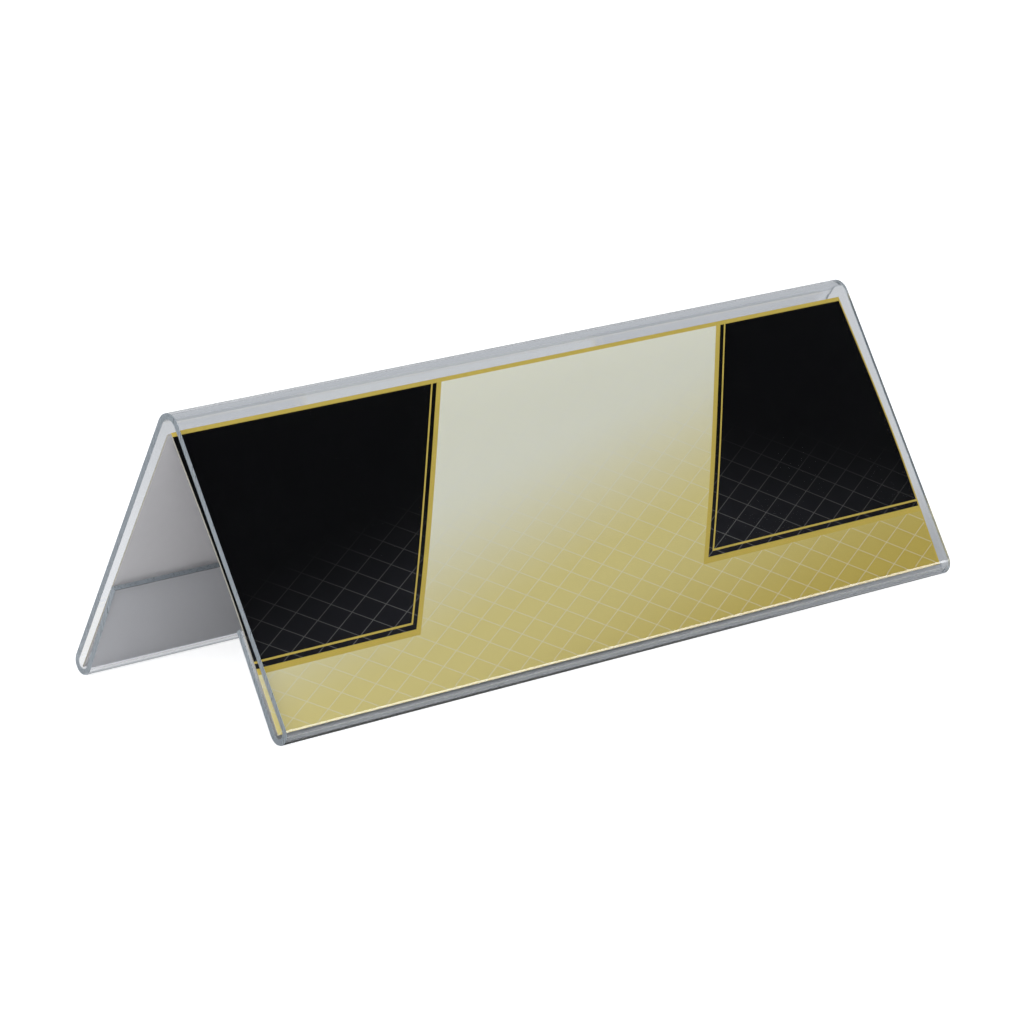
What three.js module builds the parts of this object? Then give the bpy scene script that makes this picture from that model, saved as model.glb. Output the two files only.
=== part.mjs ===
// Desk name holder: one clear sheet bent into a tent, with a loose card in the slot of each panel.
// Millimetres. X runs along the holder, Y to the back, Z up. The origin is under the middle, on the desk.

import * as THREE from 'three';

// The cards: a standard sheet cut in half lengthways and trimmed.
const cardLength = 210;
const cardHeight = 73.2;
const cardThickness = 0.4;

// The bent sheet.
const sheetThickness = 1.5;
const apexAngle = 60.4; // degrees between the two panels
const ridgeRadius = 4.3; // outside of the bend at the top
const slotWidth = 3.2; // inside of the fold at the bottom
const slotMouth = 2.2; // between the panel and the top edge of the lip
const lipHeight = 28; // from the underside of the fold, along the panel
const headRoom = 7.77; // from the corner where the outer faces would meet down to the front card's top edge
const endMargin = 0.5; // holder past each end of the cards
const footAngle = 15; // degrees of each fold's underside that lie flat on the desk

// Room around a loose card.
const cardClearance = 0.1;

// How each card stands: the place of its foot in the fold, in degrees down from the lip's side, and how far
// its top edge sags inwards from a straight line. Its foot and the lip's top edge hold it.
const frontStand = { footTurn: 20, sag: 2.7 };
const backStand = { footTurn: 82, sag: 0 };

const arcSteps = 8; // curve divisions, which an arc doubles

// Values that follow from the sizes above.
const holderLength = cardLength + 2 * endMargin;
const halfApex = THREE.MathUtils.degToRad(apexAngle / 2);
const innerRidgeRadius = ridgeRadius - sheetThickness;
const innerFoldRadius = slotWidth / 2;
const outerFoldRadius = innerFoldRadius + sheetThickness;

// Lip: its slot side leaves the fold as a tangent and ends at the slot's mouth.
const lipRise = lipHeight - outerFoldRadius;
const lipShift = sheetThickness + slotMouth - outerFoldRadius;
const lipLean = Math.asin(innerFoldRadius / Math.hypot(lipRise, lipShift)) - Math.atan2(lipShift, lipRise);

// Where a card's lip side stands, up the panel and inwards from the middle of the fold, how far its straight
// lower part leans inwards, and how far up the card the lip's top edge holds it.
function cardPose({ footTurn }) {
  const turn = THREE.MathUtils.degToRad(footTurn);
  const reach = innerFoldRadius - cardClearance;
  const foot = new THREE.Vector2(-reach * Math.sin(turn), reach * Math.cos(turn));
  const toLip = new THREE.Vector2(lipRise, lipShift).sub(foot);
  const lean = toLip.angle() - Math.asin(cardClearance / toLip.length());
  return { foot, lean, held: Math.sqrt(toLip.lengthSq() - cardClearance ** 2) };
}

// A point on a card's lip side, from its foot: straight up to the lip's top edge, and above it bent inwards
// like a strip that is held at one end and hangs under its own weight.
function cardPoint({ foot, lean, held }, sag, rise) {
  const free = Math.max(0, (rise - held) / (cardHeight - held));
  const bend = (sag * free ** 2 * (6 - 4 * free + free ** 2)) / 3;
  return new THREE.Vector2(rise, bend).rotateAround(new THREE.Vector2(), lean).add(foot);
}

// The panel's length, from the corner of the outer faces down to the underside of its fold.
const topRise = cardPoint(cardPose(frontStand), frontStand.sag, cardHeight).x;
const panelLength = headRoom + topRise + outerFoldRadius;

// Height of the corner of the outer faces, with the feet on the desk.
const foldDown = panelLength - outerFoldRadius;
const footHalf = THREE.MathUtils.degToRad(footAngle / 2);
const foldHeight = outerFoldRadius * Math.cos(footHalf);
const apexHeight = foldHeight + foldDown * Math.cos(halfApex) + outerFoldRadius * Math.sin(halfApex);

// Directions in the end view, where x is the part's Y and y is its Z. The front panel has side -1.
const down = (side) => new THREE.Vector2(side * Math.sin(halfApex), -Math.cos(halfApex));
const inward = (side) => new THREE.Vector2(-side * Math.cos(halfApex), -Math.sin(halfApex));

// A point of one panel: how far down the panel, and how far in from its outer face.
function panelPoint(side, along, depth) {
  const apex = new THREE.Vector2(0, apexHeight);
  return apex.addScaledVector(down(side), along).addScaledVector(inward(side), depth);
}

// Angle of the end view, given for the front panel and mirrored for the back one.
const facing = (side, angle) => (side < 0 ? angle : Math.PI - angle);

// The two top corners of a lip, first the one on the slot side.
function lipTop(side) {
  const slotCorner = panelPoint(side, foldDown - lipRise, sheetThickness + slotMouth);
  const across = inward(side).multiplyScalar(Math.cos(lipLean)).addScaledVector(down(side), -Math.sin(lipLean));
  return [slotCorner, slotCorner.clone().addScaledVector(across, sheetThickness)];
}

// Outline of the bent sheet, once round: ridge, front panel, fold and lip, back inside, and the same behind.
function sheetOutline() {
  const outline = new THREE.Shape();
  const outerFace = Math.PI - halfApex;
  const lipFace = 2 * Math.PI - halfApex + lipLean;
  const footFrom = 1.5 * Math.PI - footHalf;
  const footTo = 1.5 * Math.PI + footHalf;
  const ridge = new THREE.Vector2(0, apexHeight - ridgeRadius / Math.sin(halfApex));
  const front = panelPoint(-1, foldDown, outerFoldRadius);
  const back = panelPoint(1, foldDown, outerFoldRadius);
  const [frontSlot, frontInside] = lipTop(-1);
  const [backSlot, backInside] = lipTop(1);

  outline.absarc(ridge.x, ridge.y, ridgeRadius, facing(1, outerFace), outerFace, false);
  outline.absarc(front.x, front.y, outerFoldRadius, outerFace, footFrom, false);
  outline.absarc(front.x, front.y, outerFoldRadius, footTo, lipFace, false);
  outline.lineTo(frontInside.x, frontInside.y);
  outline.lineTo(frontSlot.x, frontSlot.y);
  outline.absarc(front.x, front.y, innerFoldRadius, lipFace, outerFace, true);
  outline.absarc(ridge.x, ridge.y, innerRidgeRadius, outerFace, facing(1, outerFace), true);
  outline.absarc(back.x, back.y, innerFoldRadius, facing(1, outerFace), facing(1, lipFace), true);
  outline.lineTo(backSlot.x, backSlot.y);
  outline.lineTo(backInside.x, backInside.y);
  outline.absarc(back.x, back.y, outerFoldRadius, facing(1, lipFace), facing(1, footTo), false);
  outline.absarc(back.x, back.y, outerFoldRadius, facing(1, footFrom), facing(1, outerFace), false);
  return outline;
}

// Outline of a card in its slot, seen from the end: up its lip side and down its panel side.
function cardOutline(side, stand) {
  const pose = cardPose(stand);
  const steps = stand.sag > 0 ? arcSteps : 1;
  const rises = [0];
  for (let step = 0; step <= steps; step++) {
    rises.push(pose.held + ((cardHeight - pose.held) * step) / steps);
  }
  const lipSide = rises.map((rise) => cardPoint(pose, stand.sag, rise));
  const through = new THREE.Vector2(Math.sin(pose.lean), -Math.cos(pose.lean)).multiplyScalar(cardThickness);
  const panelSide = lipSide.map((point) => point.clone().add(through)).reverse();
  const place = ({ x, y }) => panelPoint(side, foldDown - x, outerFoldRadius + y);
  return new THREE.Shape([...lipSide, ...panelSide].map(place));
}

// Carries an end view along X, centred on the origin.
function extrudeAlongX(outline, length) {
  const options = { depth: length, bevelEnabled: false, curveSegments: arcSteps, steps: 1 };
  const geometry = new THREE.ExtrudeGeometry(outline, options);
  const turn = new THREE.Matrix4();
  turn.makeBasis(new THREE.Vector3(0, 1, 0), new THREE.Vector3(0, 0, 1), new THREE.Vector3(1, 0, 0));
  geometry.applyMatrix4(turn);
  return geometry.translate(-length / 2, 0, 0);
}

function makeHolder() {
  const clearPlastic = new THREE.MeshStandardMaterial({
    color: 0xe6ebec,
    roughness: 0.08,
    metalness: 0,
    transparent: true,
    opacity: 0.35,
    side: THREE.DoubleSide,
  });
  const holder = new THREE.Mesh(extrudeAlongX(sheetOutline(), holderLength), clearPlastic);
  holder.name = 'tent_holder';
  return holder;
}

function makeCard(name, side, stand) {
  const card = new THREE.MeshStandardMaterial({ color: 0xc9bd80, roughness: 0.55, metalness: 0 });
  const mesh = new THREE.Mesh(extrudeAlongX(cardOutline(side, stand), cardLength), card);
  mesh.name = name;
  return mesh;
}

const nameHolder = new THREE.Group();
nameHolder.add(makeHolder());
nameHolder.add(makeCard('front_card', -1, frontStand));
nameHolder.add(makeCard('back_card', 1, backStand));

export default nameHolder;
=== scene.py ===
"""Looks of the desk name holder: one bent sheet of clear plastic and the two printed cards in its slots."""

import math

import bpy
import numpy as np
from mathutils import Matrix, Vector


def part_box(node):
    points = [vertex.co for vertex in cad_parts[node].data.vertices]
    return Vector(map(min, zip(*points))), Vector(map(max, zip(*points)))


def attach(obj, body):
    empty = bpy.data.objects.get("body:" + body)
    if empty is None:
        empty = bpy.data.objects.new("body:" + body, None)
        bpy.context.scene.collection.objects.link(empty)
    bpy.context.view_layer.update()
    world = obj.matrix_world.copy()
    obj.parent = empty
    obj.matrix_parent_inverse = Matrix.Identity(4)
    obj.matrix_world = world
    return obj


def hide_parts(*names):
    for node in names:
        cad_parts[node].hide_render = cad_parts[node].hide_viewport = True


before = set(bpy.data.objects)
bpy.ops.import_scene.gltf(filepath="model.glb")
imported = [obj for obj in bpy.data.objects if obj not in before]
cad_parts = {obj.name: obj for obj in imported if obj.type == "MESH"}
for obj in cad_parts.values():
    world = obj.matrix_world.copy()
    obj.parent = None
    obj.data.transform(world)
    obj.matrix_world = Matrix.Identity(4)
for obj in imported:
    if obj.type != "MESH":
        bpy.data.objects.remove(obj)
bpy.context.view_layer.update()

MM = 0.001

# The bent sheet, with the same sizes as its solid.
SHEET = 1.5 * MM
HALF_APEX = math.radians(60.4 / 2)
RIDGE_RADIUS = 4.3 * MM
SLOT_WIDTH = 3.2 * MM
SLOT_MOUTH = 2.2 * MM
LIP_HEIGHT = 28 * MM
FOOT_ANGLE = math.radians(15)
FOLD_RADIUS = SLOT_WIDTH / 2 + SHEET

# The lip's slot side at its top, up the panel and inwards from the middle of the fold.
LIP_RISE = LIP_HEIGHT - FOLD_RADIUS
LIP_SHIFT = SHEET + SLOT_MOUTH - FOLD_RADIUS

# The cards, and how each one stands: the place of its foot in the fold, as a turn down from the lip's side,
# and how far its top edge sags inwards from a straight line.
CARD_LENGTH = 210 * MM
CARD_HEIGHT = 73.2 * MM
CARD_THICKNESS = 0.4 * MM
CARD_CLEARANCE = 0.1 * MM
FRONT_STAND = (math.radians(20), 2.7 * MM)
BACK_STAND = (math.radians(82), 0)

# Rounding of the cut edges: along the ends, and round the free edge of a lip or card.
SHEET_CORNER = 0.12 * MM
SHEET_EDGE = 0.1 * MM
CARD_CORNER = 0.08 * MM
CARD_EDGE = 0.05 * MM

# Fineness of the meshes.
CORNER_STEPS = 4
EDGE_STEPS = 4
BEND_STEPS = 40
CARD_STEPS = 24
LENGTH_STEPS = 24

# How far up a face's normal has to point on a lip's top, and how straight out on a card's two faces.
TOP_NORMAL = 0.6
FACE_NORMAL = 0.9

# The print, in millimetres from the card's lower left corner. The field leans to the right by SLOPE for each
# millimetre up, and the tones change across lines that rise by TONE_SLOPE for each millimetre along.
FIELD_HALF = 45
FIELD_MIDDLE = 83
SLOPE = 0.55
FOOT_BAND = 15
TONE_SLOPE = 0.2
TOP_RIM = 1.1
SIDE_RIM = 0.55
SOFT_EDGE = 0.05

# Where cream turns to pale gold and pale gold to deep gold, as depths below the tone line through the lower
# left corner, and where black turns to charcoal, as heights plus a quarter of the way into a wing.
CREAM_FADE = (-34, 2)
GOLD_FADE = (0, 40)
GLOW_FADE = (50, 8)

# Half the width of the print's wide and fine gold lines, and how far apart they lie.
WIDE_LINE = 0.7
FINE_LINE = 0.22
LINE_GAP = 2.2

# The lattice of lozenges: its pitch, its lines' width and their angle to the card's length.
LATTICE_PITCH = 5
LATTICE_LINE = 0.16
LATTICE_ANGLE = math.radians(30)

PLASTIC_IOR = 1.49
WHITE = (1, 1, 1, 1)

# The stage, in metres: half the floor's side, and the painted pool of light behind the holder at the left, a
# glow on the floor that no lamp casts, with the distances from its middle where it starts to fade and has
# faded, and its glow at both.
FLOOR_HALF = 6.0
PAINTED_POOL_MIDDLE = (-0.12, 0.06, 0)
PAINTED_POOL_FADE = (0.02, 0.3)
PAINTED_POOL_GLOW = (0.42, 0.12)

# Direction of the room's dark side, the angles from it where the dark starts to fade and has faded, and the
# room's brightness at both.
DARK_SIDE = (0.66, -0.57, 0.49)
DARK_FADE = (math.radians(14), math.radians(40))
ROOM_LIGHT = (0.01, 0.51)


# Surfaces

def rounded_section(half_length, half_thickness, radius):
    """Closed outline of a plate's section with its outward normals, as rows of (along X, across the plate).

    The upper half runs from the left end over the top to the right end: a quarter circle of the given
    radius, the straight top, and another quarter circle. The lower half is its mirror image, taken back."""
    turn = np.linspace(0, math.pi / 2, CORNER_STEPS + 1)
    right = np.column_stack([np.sin(turn), np.cos(turn)])
    left = (right * [-1, 1])[::-1]
    x = np.linspace(-1, 1, LENGTH_STEPS + 1)[1:-1] * (half_length - radius)
    top = np.column_stack([x, np.full(len(x), half_thickness)])
    centre = np.array([half_length - radius, half_thickness - radius])
    upper = np.vstack([centre * [-1, 1] + radius * left, top, centre + radius * right])
    facing = np.vstack([left, np.tile([0.0, 1.0], (len(top), 1)), right])
    mirror = np.array([1, -1])
    return np.vstack([upper, (upper * mirror)[::-1]]), np.vstack([facing, (facing * mirror)[::-1]])


def plate_along(path, half_length, thickness, corner, edge):
    """Points and normals of a plate that follows a path in the end view.

    path has a row for each place: y, z and the angle of the plate's outer normal. Each place carries the
    rounded section. At both ends of the path the section draws in along a quarter circle of radius edge:
    at turn t it is drawn in by edge * (1 - sin t), and lies edge * (1 - cos t) short of the end."""
    turns = np.linspace(0, math.pi / 2, EDGE_STEPS + 1)
    inset = edge * (1 - np.sin(turns))
    points, normals = [], []

    def ring(place, drawn_in, tilt, outwards):
        sizes = np.array([half_length, thickness / 2, corner]) - drawn_in
        outline, facing = rounded_section(*sizes)
        across = np.array([math.cos(place[2]), math.sin(place[2])])
        points.append(np.column_stack([outline[:, 0], place[:2] + outline[:, 1:] * across]))
        flat = np.column_stack([facing[:, 0], facing[:, 1:] * across])
        normals.append(flat * math.sin(tilt) + np.array([0, *outwards]) * math.cos(tilt))

    def direction(a, b):
        return (b[:2] - a[:2]) / np.linalg.norm(b[:2] - a[:2])

    start, end = direction(path[1], path[0]), direction(path[-2], path[-1])
    for turn, drawn_in in zip(turns, inset):
        ring(path[0] - [*(start * edge * (1 - math.cos(turn))), 0], drawn_in, turn, start)
    for place in path[1:-1]:
        ring(place, 0, math.pi / 2, start)
    for turn, drawn_in in zip(turns[::-1], inset[::-1]):
        ring(path[-1] - [*(end * edge * (1 - math.cos(turn))), 0], drawn_in, turn, end)
    return np.array(points), np.array(normals)


def plate_faces(rings, around, path):
    """Quads between neighbouring rings, and across the first and last ring from point to mirrored point.

    They point outwards where the path's outer normal is on its left, and are turned over elsewhere."""
    ring, place = np.meshgrid(np.arange(rings - 1), np.arange(around), indexing="ij")
    after = (place + 1) % around
    sides = np.stack([
        ring * around + place,
        (ring + 1) * around + place,
        (ring + 1) * around + after,
        ring * around + after,
    ], axis=-1).reshape(-1, 4)
    near = np.arange(around // 2 - 1)
    cap = np.column_stack([near, near + 1, around - 2 - near, around - 1 - near])
    faces = np.vstack([sides, cap, cap[:, ::-1] + (rings - 1) * around])
    (y, z), facing = path[1, :2] - path[0, :2], path[0, 2]
    on_left = y * math.sin(facing) > z * math.cos(facing)
    return faces[:, ::-1] if on_left else faces


def build_plate(name, path, half_length, thickness, corner, edge, materials, faces_slot):
    """One closed plate at the origin, with exact normals. faces_slot gives each face's material number."""
    points, normals = plate_along(path, half_length, thickness, corner, edge)
    faces = plate_faces(*points.shape[:2], path)
    points = points.reshape(-1, 3)
    points[:, 2] = np.maximum(points[:, 2], 0)
    normals = normals.reshape(-1, 3)
    normals[points[:, 2] == 0] = (0, 0, -1)
    mesh = bpy.data.meshes.new(name)
    mesh.from_pydata(points, [], faces)
    for material in materials:
        mesh.materials.append(material)
    slots = faces_slot(points[faces].mean(axis=1), normals[faces].mean(axis=1))
    mesh.polygons.foreach_set("material_index", slots)
    mesh.polygons.foreach_set("use_smooth", np.ones(len(faces), bool))
    mesh.update()
    mesh.normals_split_custom_set_from_vertices(normals / np.linalg.norm(normals, axis=1)[:, None])
    piece = bpy.data.objects.new(name, mesh)
    bpy.context.scene.collection.objects.link(piece)
    return piece


# The bent sheet

def fold_middle():
    """The middle of the front fold in the end view."""
    return np.array([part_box("tent_holder")[0].y + FOLD_RADIUS, FOLD_RADIUS * math.cos(FOOT_ANGLE / 2)])


def to_back(path):
    """A path of the front half, mirrored in the plane y = 0."""
    return path * [-1, 1, -1] + [0, 0, math.pi]


def bend_path():
    """The middle of the sheet in the end view, from the top of the front lip over the ridge to the back lip.

    Each half is a straight lip that meets the fold's circle as a tangent, the fold's arc, the straight
    panel, and half of the ridge's arc."""
    ridge = np.array([0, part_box("tent_holder")[1].z - RIDGE_RADIUS])
    panel_facing = math.pi - HALF_APEX
    reach = math.hypot(LIP_RISE, LIP_SHIFT)
    lean = math.asin(SLOT_WIDTH / 2 / reach) - math.atan2(LIP_SHIFT, LIP_RISE)
    lip_facing = 2 * math.pi - HALF_APEX + lean

    def arc(centre, radius, angles):
        return np.column_stack([centre + radius * np.column_stack([np.cos(angles), np.sin(angles)]), angles])

    fold_turn = np.linspace(lip_facing, panel_facing, BEND_STEPS + 1)
    fold_arc = arc(fold_middle(), FOLD_RADIUS - SHEET / 2, fold_turn)
    ridge_turn = np.linspace(panel_facing, math.pi / 2, BEND_STEPS // 2 + 1)
    ridge_arc = arc(ridge, RIDGE_RADIUS - SHEET / 2, ridge_turn)
    lip_length = math.sqrt(reach ** 2 - (SLOT_WIDTH / 2) ** 2)
    up_lip = np.array([-math.sin(lip_facing), math.cos(lip_facing), 0])
    lip_top = fold_arc[0] + up_lip * lip_length
    half = np.vstack([lip_top, fold_arc, ridge_arc])
    return np.vstack([half, to_back(half[-2::-1])])


def make_sheet(clear, cut):
    """The holder: faces near the two ends and across the lips' tops are cut edges, the rest is polished."""
    low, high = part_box("tent_holder")
    half_length = (high.x - low.x) / 2
    path = bend_path()
    tops = path[[0, -1], :2]

    def faces_slot(middles, normals):
        at_end = np.abs(middles[:, 0]) > half_length - SHEET_CORNER
        from_top = np.linalg.norm(middles[:, None, 1:] - tops, axis=2).min(axis=1)
        on_top = (from_top < SHEET) & (normals[:, 2] > TOP_NORMAL)
        return (at_end | on_top).astype(np.int32)

    sizes = (half_length, SHEET, SHEET_CORNER, SHEET_EDGE)
    return build_plate("clear_tent", path, *sizes, [clear, cut], faces_slot)


# The cards

def card_path(foot_turn, sag):
    """The middle of a card in the front slot, in the end view, from its foot to its top edge.

    Its places are worked out up the panel and inwards from the middle of the fold. The corner of its foot on
    the lip's side lies at the given turn on the fold's inner circle less the clearance. From there the card
    is straight, with the same clearance past the lip's top edge. At t of the way from the lip to its own top
    it is bent inwards by sag * t^2 * (6 - 4 t + t^2) / 3, like a strip that hangs from one end."""
    foot = np.array([-math.sin(foot_turn), math.cos(foot_turn)]) * (SLOT_WIDTH / 2 - CARD_CLEARANCE)
    to_lip = np.array([LIP_RISE, LIP_SHIFT]) - foot
    distance = np.linalg.norm(to_lip)
    lean = math.atan2(to_lip[1], to_lip[0]) - math.asin(CARD_CLEARANCE / distance)
    held = math.sqrt(distance ** 2 - CARD_CLEARANCE ** 2)
    rise = np.append(0, np.linspace(held, CARD_HEIGHT, CARD_STEPS + 1))
    free = np.maximum(0, (rise - held) / (CARD_HEIGHT - held))
    bend = sag * free ** 2 * (6 - 4 * free + free ** 2) / 3 - CARD_THICKNESS / 2
    slope = 4 * sag * free * (3 - 3 * free + free ** 2) / (3 * (CARD_HEIGHT - held))
    up = foot[0] + rise * math.cos(lean) - bend * math.sin(lean)
    inwards = foot[1] + rise * math.sin(lean) + bend * math.cos(lean)
    y, z = fold_middle()
    y = y + up * math.sin(HALF_APEX) + inwards * math.cos(HALF_APEX)
    z = z + up * math.cos(HALF_APEX) - inwards * math.sin(HALF_APEX)
    return np.column_stack([y, z, math.pi - HALF_APEX - lean - slope])


def make_card(name, path, printed, board, edge):
    """A card with its print on the outer face. Its UV map runs along it and up it, as a reader sees it."""
    outer = np.array([0, math.cos(path[0, 2]), math.sin(path[0, 2])])

    def faces_slot(middles, normals):
        outwards = normals @ outer
        return np.select([outwards > FACE_NORMAL, outwards < -FACE_NORMAL], [0, 1], 2).astype(np.int32)

    materials = [printed, board, edge]
    sizes = (CARD_LENGTH / 2, CARD_THICKNESS, CARD_CORNER, CARD_EDGE)
    card = build_plate(name, path, *sizes, materials, faces_slot)
    corners = np.empty(len(card.data.loops), np.int32)
    card.data.loops.foreach_get("vertex_index", corners)
    points = np.empty(len(card.data.vertices) * 3)
    card.data.vertices.foreach_get("co", points)
    points = points.reshape(-1, 3)[corners]
    foot, up = path[0, :2], path[-1, :2] - path[0, :2]
    reader_right = -math.copysign(1, outer[1])
    along = 0.5 + reader_right * points[:, 0] / CARD_LENGTH
    upwards = (points[:, 1:] - foot) @ up / (up @ up)
    card.data.uv_layers.new(name="face").data.foreach_set("uv", np.column_stack([along, upwards]).ravel())
    return card


# Materials

def srgb(red, green, blue):
    """Linear colour of an 8-bit screen colour: the screen's curve taken off each part."""
    parts = [part / 255 for part in (red, green, blue)]
    return (*(part / 12.92 if part <= 0.04045 else ((part + 0.055) / 1.055) ** 2.4 for part in parts), 1)


# Inks
CREAM = srgb(245, 243, 221)
PALE_GOLD = srgb(233, 217, 143)
DEEP_GOLD = srgb(198, 172, 74)
GOLD_LINE = srgb(216, 190, 92)
WHITE_INK = srgb(240, 238, 228)
CHARCOAL = srgb(36, 36, 40)
BLACK_INK = (0.002, 0.002, 0.0025, 1)


def new_material(name):
    """An empty node material, its node tree and its Principled shader."""
    material = bpy.data.materials.new(name)
    material.use_nodes = True
    return material, material.node_tree, material.node_tree.nodes["Principled BSDF"]


def feed(tree, socket, value):
    """Sets a socket to a plain value, or links it to another node's output."""
    if isinstance(value, bpy.types.NodeSocket):
        tree.links.new(value, socket)
    else:
        socket.default_value = value


def calc(tree, operation, *values):
    """Result of a Math node."""
    node = tree.nodes.new("ShaderNodeMath")
    node.operation = operation
    for socket, value in zip(node.inputs, values):
        feed(tree, socket, value)
    return node.outputs[0]


def ramp(tree, value, start, end, low=0.0, high=1.0):
    """Smooth step from low, where the value is start, to high, where it is end."""
    node = tree.nodes.new("ShaderNodeMapRange")
    node.interpolation_type = "SMOOTHSTEP"
    names = ("Value", "From Min", "From Max", "To Min", "To Max")
    for name, part in zip(names, (value, start, end, low, high)):
        feed(tree, node.inputs[name], part)
    return node.outputs["Result"]


def blend(tree, amount, first, second):
    """First colour where the amount is 0, second where it is 1. The Mix node's colours are 6, 7 and 2."""
    node = tree.nodes.new("ShaderNodeMix")
    node.data_type = "RGBA"
    for socket, value in zip((node.inputs[0], node.inputs[6], node.inputs[7]), (amount, first, second)):
        feed(tree, socket, value)
    return node.outputs[2]


def noise(tree, place, scale, detail=2.0):
    """Noise from 0 to 1; the scale is in waves per metre."""
    node = tree.nodes.new("ShaderNodeTexNoise")
    node.inputs["Scale"].default_value = scale
    node.inputs["Detail"].default_value = detail
    tree.links.new(place, node.inputs["Vector"])
    return node.outputs["Fac"]


def object_place(tree, stretch=(1, 1, 1)):
    """Object coordinates, each axis times its own factor."""
    where = tree.nodes.new("ShaderNodeTexCoord")
    mapping = tree.nodes.new("ShaderNodeMapping")
    mapping.inputs["Scale"].default_value = stretch
    tree.links.new(where.outputs["Object"], mapping.inputs["Vector"])
    return mapping.outputs[0]


def relief(tree, shader, height, depth):
    """Bump of the given depth in metres."""
    bump = tree.nodes.new("ShaderNodeBump")
    bump.inputs["Distance"].default_value = depth
    tree.links.new(height, bump.inputs["Height"])
    tree.links.new(bump.outputs[0], shader.inputs["Normal"])


def new_group(name, inputs, outputs):
    """An empty node group with the named number sockets: its tree, input node and output node."""
    group = bpy.data.node_groups.new(name, "ShaderNodeTree")
    for direction, names in (("INPUT", inputs), ("OUTPUT", outputs)):
        for socket in names:
            group.interface.new_socket(socket, in_out=direction, socket_type="NodeSocketFloat")
    return group, group.nodes.new("NodeGroupInput"), group.nodes.new("NodeGroupOutput")


def use_group(tree, group, **values):
    """Places a group in a material with its own values."""
    node = tree.nodes.new("ShaderNodeGroup")
    node.node_tree = group
    for name, value in values.items():
        feed(tree, node.inputs[name], value)
    return node


def paper_group():
    """Shared by the cards' faces and edges. Shade is 1 plus or minus Mottle, Fibre is relief from 0 to 1."""
    group, given, result = new_group("paper", ["Mottle"], ["Shade", "Fibre"])
    clouds = noise(group, object_place(group), 420, 3)
    swing = calc(group, "MULTIPLY", calc(group, "MULTIPLY_ADD", clouds, 2, -1), given.outputs["Mottle"])
    group.links.new(calc(group, "ADD", swing, 1), result.inputs["Shade"])
    group.links.new(noise(group, object_place(group, (1, 2, 2)), 3600, 4), result.inputs["Fibre"])
    return group


def handling_group():
    """Shared by the sheet's faces and cut ends. Haze is rubbed patches, Hairline fine scratches."""
    group, given, result = new_group("handling", ["Amount"], ["Haze", "Hairline"])
    patches = ramp(group, noise(group, object_place(group), 26, 3), 0.5, 0.75)
    group.links.new(calc(group, "MULTIPLY", patches, given.outputs["Amount"]), result.inputs["Haze"])
    strokes = ramp(group, noise(group, object_place(group, (1, 30, 30)), 60, 3), 0.62, 0.7)
    group.links.new(calc(group, "MULTIPLY", strokes, patches), result.inputs["Hairline"])
    return group


def scaled(tree, colour, factor):
    """A colour times a number."""
    node = tree.nodes.new("ShaderNodeVectorMath")
    node.operation = "SCALE"
    feed(tree, node.inputs[0], colour if isinstance(colour, bpy.types.NodeSocket) else colour[:3])
    feed(tree, node.inputs["Scale"], factor)
    return node.outputs[0]


def let_light_through(tree, shader, tint):
    """Lamps and bounced light pass the clear sheet without bending, so that the cards behind it are lit.

    Less of it passes at a slant, which leaves the folds and the desk under them in a soft shade."""
    path = tree.nodes.new("ShaderNodeLightPath")
    either = calc(tree, "MAXIMUM", path.outputs["Is Shadow Ray"], path.outputs["Is Diffuse Ray"])
    slant = tree.nodes.new("ShaderNodeLayerWeight")
    slant.inputs["Blend"].default_value = 0.5
    straight = tree.nodes.new("ShaderNodeBsdfTransparent")
    shade = ramp(tree, slant.outputs["Facing"], 0.42, 0.9)
    tree.links.new(blend(tree, shade, tint, (0.2, 0.22, 0.25, 1)), straight.inputs["Color"])
    mix = tree.nodes.new("ShaderNodeMixShader")
    tree.links.new(either, mix.inputs[0])
    tree.links.new(shader.outputs[0], mix.inputs[1])
    tree.links.new(straight.outputs[0], mix.inputs[2])
    tree.links.new(mix.outputs[0], tree.nodes["Material Output"].inputs["Surface"])


def edge_tint(tree):
    """The sheet's own faint blue-grey, which shows only where light runs a long way inside it."""
    depth = tree.nodes.new("ShaderNodeVolumeAbsorption")
    depth.inputs["Color"].default_value = (0.62, 0.74, 0.80, 1)
    depth.inputs["Density"].default_value = 9
    tree.links.new(depth.outputs[0], tree.nodes["Material Output"].inputs["Volume"])


def clear_plastic(handling):
    """Polished faces: colourless, with a slow waviness from the rolling and a few rubbed patches."""
    material, tree, shader = new_material("clear_plastic")
    shader.inputs["Base Color"].default_value = (0.97, 0.975, 0.99, 1)
    shader.inputs["IOR"].default_value = PLASTIC_IOR
    shader.inputs["Transmission Weight"].default_value = 1
    marks = use_group(tree, handling, Amount=0.03)
    tree.links.new(marks.outputs["Haze"], shader.inputs["Roughness"])
    waves = noise(tree, object_place(tree, (0.6, 1, 1)), 30, 1)
    height = calc(tree, "MULTIPLY_ADD", marks.outputs["Hairline"], -0.02, waves)
    relief(tree, shader, height, 0.04 * MM)
    let_light_through(tree, shader, (0.96, 0.965, 0.97, 1))
    edge_tint(tree)
    return material


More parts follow.
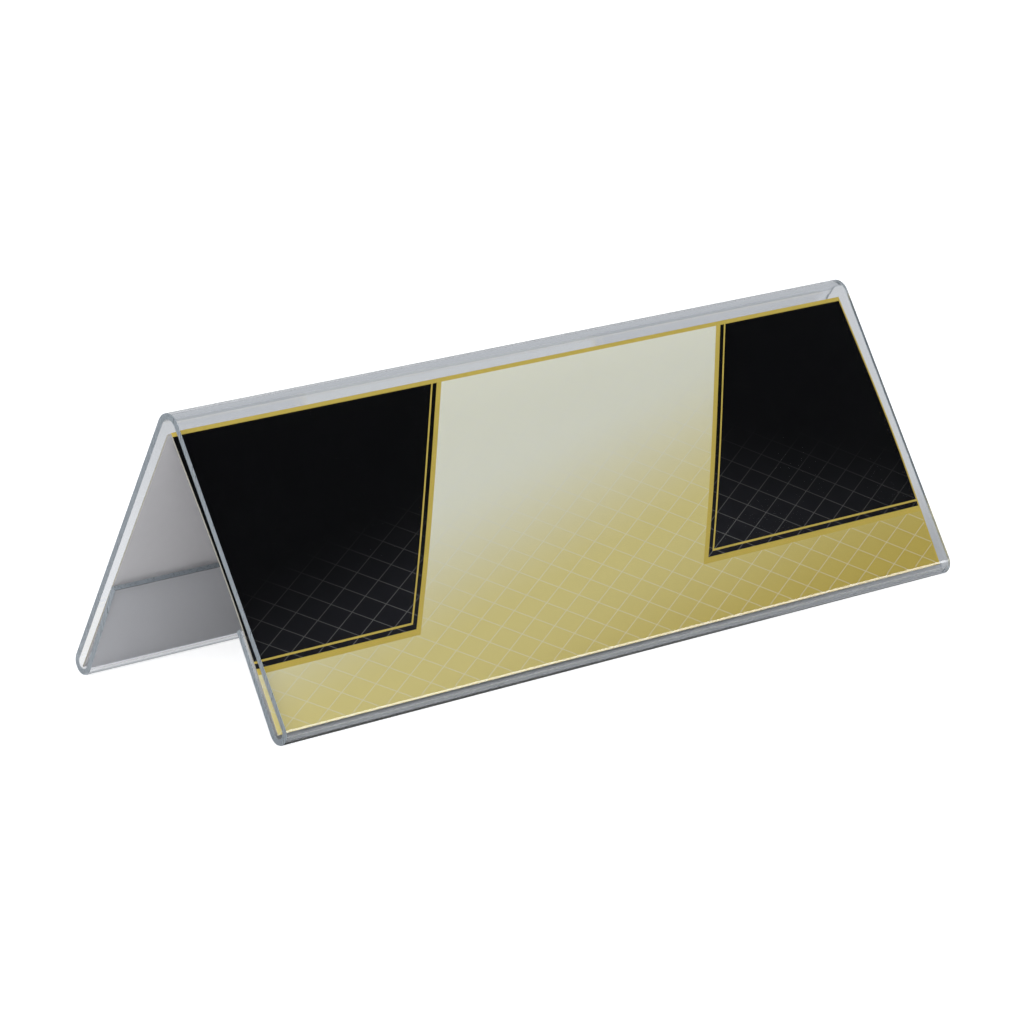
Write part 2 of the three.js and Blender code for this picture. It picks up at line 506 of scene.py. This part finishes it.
def cut_plastic(handling):
    """Cut ends: a satin face that scatters some of the light, with saw marks across the sheet."""
    material, tree, shader = new_material("cut_plastic")
    shader.inputs["IOR"].default_value = PLASTIC_IOR
    shader.inputs["Transmission Weight"].default_value = 0.62
    marks = use_group(tree, handling, Amount=0.12)
    grooves = noise(tree, object_place(tree, (1, 1, 0.06)), 5200, 2)
    satin = calc(tree, "ADD", marks.outputs["Haze"], 0.22)
    tree.links.new(calc(tree, "MULTIPLY_ADD", grooves, 0.14, satin), shader.inputs["Roughness"])
    colour = blend(tree, grooves, (0.60, 0.69, 0.77, 1), (0.76, 0.84, 0.91, 1))
    tree.links.new(colour, shader.inputs["Base Color"])
    relief(tree, shader, grooves, 0.008 * MM)
    let_light_through(tree, shader, (0.9, 0.92, 0.93, 1))
    edge_tint(tree)
    return material


def plain_board(paper):
    """The cards' unprinted reverse: white board toned down to grey-white as painted shade, since it faces
    the shaded inside of the tent.
    """
    material, tree, shader = new_material("plain_board")
    grain = use_group(tree, paper, Mottle=0.02)
    # Grey-white rather than white: painted shade for the inside of the tent.
    tree.links.new(scaled(tree, (0.70, 0.69, 0.70), grain.outputs["Shade"]), shader.inputs["Base Color"])
    sheen = calc(tree, "MULTIPLY_ADD", grain.outputs["Fibre"], 0.15, 0.5)
    tree.links.new(sheen, shader.inputs["Roughness"])
    shader.inputs["Specular IOR Level"].default_value = 0.3
    relief(tree, shader, grain.outputs["Fibre"], 0.01 * MM)
    return material


def trimmed_board(paper):
    """The cards' trimmed edges, greyer than their faces."""
    material, tree, shader = new_material("trimmed_board")
    grain = use_group(tree, paper, Mottle=0.10)
    tree.links.new(scaled(tree, (0.44, 0.42, 0.36), grain.outputs["Shade"]), shader.inputs["Base Color"])
    shader.inputs["Roughness"].default_value = 0.8
    shader.inputs["Specular IOR Level"].default_value = 0.1
    relief(tree, shader, grain.outputs["Fibre"], 0.03 * MM)
    return material


def stripe(tree, place, middle, half_width):
    """1 within half_width of the middle, fading to 0 over SOFT_EDGE."""
    off = calc(tree, "ABSOLUTE", calc(tree, "SUBTRACT", place, middle))
    return ramp(tree, off, half_width + SOFT_EDGE, half_width)


def lattice(tree, along, up):
    """Thin lines in two crossing directions, at plus and minus LATTICE_ANGLE, LATTICE_PITCH apart."""
    lines = []
    for side in (-1, 1):
        sideways = calc(tree, "MULTIPLY", along, math.sin(LATTICE_ANGLE))
        across = calc(tree, "MULTIPLY_ADD", up, side * math.cos(LATTICE_ANGLE), sideways)
        lines.append(stripe(tree, calc(tree, "PINGPONG", across, LATTICE_PITCH / 2), 0, LATTICE_LINE / 2))
    return calc(tree, "MAXIMUM", *lines)


def printed_board(paper):
    """The cards' printed face, drawn in millimetres along and up the card.

    Two black wings stand on a cream to gold band, with a leaning field of the same colours between them. A
    point is inside a wing by the smaller of |along - SLOPE * up - FIELD_MIDDLE| - FIELD_HALF and
    up - FOOT_BAND. Gold lines follow the wings' bounds, a thin lattice of lozenges runs through it all, and
    gold rims close the top and the right."""
    material, tree, shader = new_material("printed_board")
    uv = tree.nodes.new("ShaderNodeUVMap")
    uv.uv_map = "face"
    split = tree.nodes.new("ShaderNodeSeparateXYZ")
    tree.links.new(uv.outputs[0], split.inputs[0])
    along = calc(tree, "MULTIPLY", split.outputs["X"], CARD_LENGTH / MM)
    up = calc(tree, "MULTIPLY", split.outputs["Y"], CARD_HEIGHT / MM)
    slope = calc(tree, "MULTIPLY_ADD", up, -SLOPE, calc(tree, "SUBTRACT", along, FIELD_MIDDLE))
    off = calc(tree, "SUBTRACT", calc(tree, "ABSOLUTE", slope), FIELD_HALF)
    inside = calc(tree, "MINIMUM", off, calc(tree, "SUBTRACT", up, FOOT_BAND))

    below = calc(tree, "SUBTRACT", calc(tree, "MULTIPLY", along, TONE_SLOPE), up)
    field = blend(tree, ramp(tree, below, *CREAM_FADE), CREAM, PALE_GOLD)
    field = blend(tree, ramp(tree, below, *GOLD_FADE, 0, 0.85), field, DEEP_GOLD)
    lines = lattice(tree, along, up)
    field = blend(tree, calc(tree, "MULTIPLY", lines, 0.4), field, WHITE_INK)

    low_glow = ramp(tree, calc(tree, "MULTIPLY_ADD", off, 0.25, up), *GLOW_FADE)
    wing = blend(tree, low_glow, BLACK_INK, CHARCOAL)
    faint = calc(tree, "MULTIPLY", low_glow, 0.16)
    wing = blend(tree, calc(tree, "MULTIPLY", lines, faint), wing, WHITE_INK)

    face = blend(tree, ramp(tree, inside, -SOFT_EDGE, SOFT_EDGE), field, wing)
    wide, fine = stripe(tree, inside, 0, WIDE_LINE), stripe(tree, inside, LINE_GAP, FINE_LINE)
    below_top = calc(tree, "SUBTRACT", CARD_HEIGHT / MM - TOP_RIM, up)
    off_right = calc(tree, "SUBTRACT", CARD_LENGTH / MM - SIDE_RIM, along)
    rims = ramp(tree, calc(tree, "MINIMUM", below_top, off_right), 0, -2 * SOFT_EDGE)
    gold = calc(tree, "MAXIMUM", calc(tree, "MAXIMUM", wide, fine), rims)
    face = blend(tree, gold, face, GOLD_LINE)

    grain = use_group(tree, paper, Mottle=0.02)
    tree.links.new(scaled(tree, face, grain.outputs["Shade"]), shader.inputs["Base Color"])
    sheen = calc(tree, "MULTIPLY_ADD", grain.outputs["Fibre"], 0.12, 0.42)
    tree.links.new(sheen, shader.inputs["Roughness"])
    shader.inputs["Specular IOR Level"].default_value = 0.05
    relief(tree, shader, grain.outputs["Fibre"], 0.006 * MM)
    return material


# The pieces on their bodies

handling = handling_group()
sheet = make_sheet(clear_plastic(handling), cut_plastic(handling))
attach(sheet, "holder")
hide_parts("tent_holder")

paper = paper_group()
printed, board, card_edge = printed_board(paper), plain_board(paper), trimmed_board(paper)

front = make_card("front_insert_card", card_path(*FRONT_STAND), printed, board, card_edge)
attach(front, "front_insert")
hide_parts("front_card")

back = make_card("back_insert_card", to_back(card_path(*BACK_STAND)), printed, board, card_edge)
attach(back, "back_insert")
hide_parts("back_card")


# Stage, light and camera

def make_floor():
    """A wide pale floor at the height of the holder's feet, which the camera sees white.

    It throws back more of the light that falls on the holder than it shows, like a white table top. What
    the clear sheet shows of it is brightest in a painted pool of light behind the holder, at the left: a
    glow that no lamp casts, seen only by glossy and transmitted rays."""
    mesh = bpy.data.meshes.new("floor")
    corners = [(x * FLOOR_HALF, y * FLOOR_HALF, 0) for x, y in ((-1, -1), (1, -1), (1, 1), (-1, 1))]
    mesh.from_pydata(corners, [], [(0, 1, 2, 3)])
    floor = bpy.data.objects.new("floor", mesh)
    bpy.context.scene.collection.objects.link(floor)
    material, tree, shader = new_material("floor_pale")
    shader.inputs["Roughness"].default_value = 0.9
    shader.inputs["Specular IOR Level"].default_value = 0
    place = object_place(tree)
    split = tree.nodes.new("ShaderNodeSeparateXYZ")
    tree.links.new(place, split.inputs[0])
    behind = ramp(tree, split.outputs["Y"], -0.02, 0.04)
    away = tree.nodes.new("ShaderNodeVectorMath")
    away.operation = "DISTANCE"
    away.inputs[1].default_value = PAINTED_POOL_MIDDLE
    tree.links.new(place, away.inputs[0])
    # Painted pool of light: a glow on the floor behind the holder, seen only through the clear sheet and in
    # its mirror.
    painted_pool = calc(tree, "MULTIPLY", ramp(tree, away.outputs["Value"], *PAINTED_POOL_FADE, *PAINTED_POOL_GLOW), behind)
    path = tree.nodes.new("ShaderNodeLightPath")
    tone = blend(tree, path.outputs["Is Diffuse Ray"], (0.62, 0.63, 0.64, 1), (0.95, 0.94, 0.94, 1))
    tree.links.new(tone, shader.inputs["Base Color"])
    through = calc(tree, "MAXIMUM", path.outputs["Is Transmission Ray"], path.outputs["Is Glossy Ray"])
    painted_pool_glow = calc(tree, "MULTIPLY", through, painted_pool)
    glow = calc(tree, "MULTIPLY_ADD", path.outputs["Is Camera Ray"], 0.78, painted_pool_glow)
    shader.inputs["Emission Color"].default_value = WHITE
    tree.links.new(glow, shader.inputs["Emission Strength"])
    mesh.materials.append(material)


def make_world():
    """A pale room, white to the camera, with a dark side that each panel mirrors to a reader at its left.

    The dark side at DARK_SIDE, (a, b, c), has a twin at (-a, -b, c). Both lie where |a x + b y| + c z is
    close to 1."""
    world = bpy.data.worlds.new("pale_room")
    bpy.context.scene.world = world
    world.use_nodes = True
    tree = world.node_tree
    where = tree.nodes.new("ShaderNodeTexCoord")
    split = tree.nodes.new("ShaderNodeSeparateXYZ")
    tree.links.new(where.outputs["Generated"], split.inputs[0])
    sideways = calc(tree, "MULTIPLY", split.outputs["Y"], DARK_SIDE[1])
    level = calc(tree, "MULTIPLY_ADD", split.outputs["X"], DARK_SIDE[0], sideways)
    match = calc(tree, "MULTIPLY_ADD", split.outputs["Z"], DARK_SIDE[2], calc(tree, "ABSOLUTE", level))
    near, far = (math.cos(angle) for angle in DARK_FADE)
    room = ramp(tree, match, near, far, *ROOM_LIGHT)
    path = tree.nodes.new("ShaderNodeLightPath")
    background = tree.nodes["Background"]
    tint = blend(tree, path.outputs["Is Camera Ray"], (0.94, 0.98, 1.03, 1), WHITE)
    tree.links.new(tint, background.inputs["Color"])
    tree.links.new(calc(tree, "MAXIMUM", room, path.outputs["Is Camera Ray"]), background.inputs["Strength"])


def make_lamp(name, place, wide, high, power, lights=True, mirrored=True):
    """A soft lamp aimed at the middle of the holder. It lights matt faces, is mirrored, or does both."""
    data = bpy.data.lights.new(name, "AREA")
    data.shape = "RECTANGLE"
    data.size = wide
    data.size_y = high
    data.energy = power
    lamp = bpy.data.objects.new(name, data)
    lamp.location = place
    lamp.rotation_euler = (Vector((0, 0, 0.03)) - Vector(place)).to_track_quat("-Z", "Y").to_euler()
    lamp.visible_diffuse = lights
    lamp.visible_glossy = mirrored
    lamp.visible_transmission = mirrored
    bpy.context.scene.collection.objects.link(lamp)


def make_camera():
    """The photograph's camera: where it aims, how far off it stands, and its turn, height and roll."""
    aim = Vector((-2.8 * MM, 1.7 * MM, 28 * MM))
    distance = 1104.7 * MM
    yaw, pitch, roll = (math.radians(a) for a in (40.07, 14.66, -0.92))
    turn = Matrix.Rotation(-yaw, 4, "Z") @ Matrix.Rotation(math.pi / 2 - pitch, 4, "X")
    turn = turn @ Matrix.Rotation(roll, 4, "Z")
    data = bpy.data.cameras.new("camera")
    data.sensor_width = 36
    data.lens = 159.96
    data.clip_start = 0.05
    camera = bpy.data.objects.new("camera", data)
    camera.matrix_world = Matrix.Translation(aim) @ turn @ Matrix.Translation((0, 0, distance))
    bpy.context.scene.collection.objects.link(camera)
    bpy.context.scene.camera = camera


make_floor()
make_world()
make_lamp("key", (-1.6, -1.2, 1.9), 2.5, 2.5, 53, mirrored=False)
make_lamp("fill", (1.6, 1.5, 1.5), 2.5, 2.5, 22, mirrored=False)
make_lamp("strip", (1.6, -1.95, 0.33), 1.1, 0.62, 11, lights=False)
make_camera()
bpy.context.scene.view_settings.view_transform = "Standard"
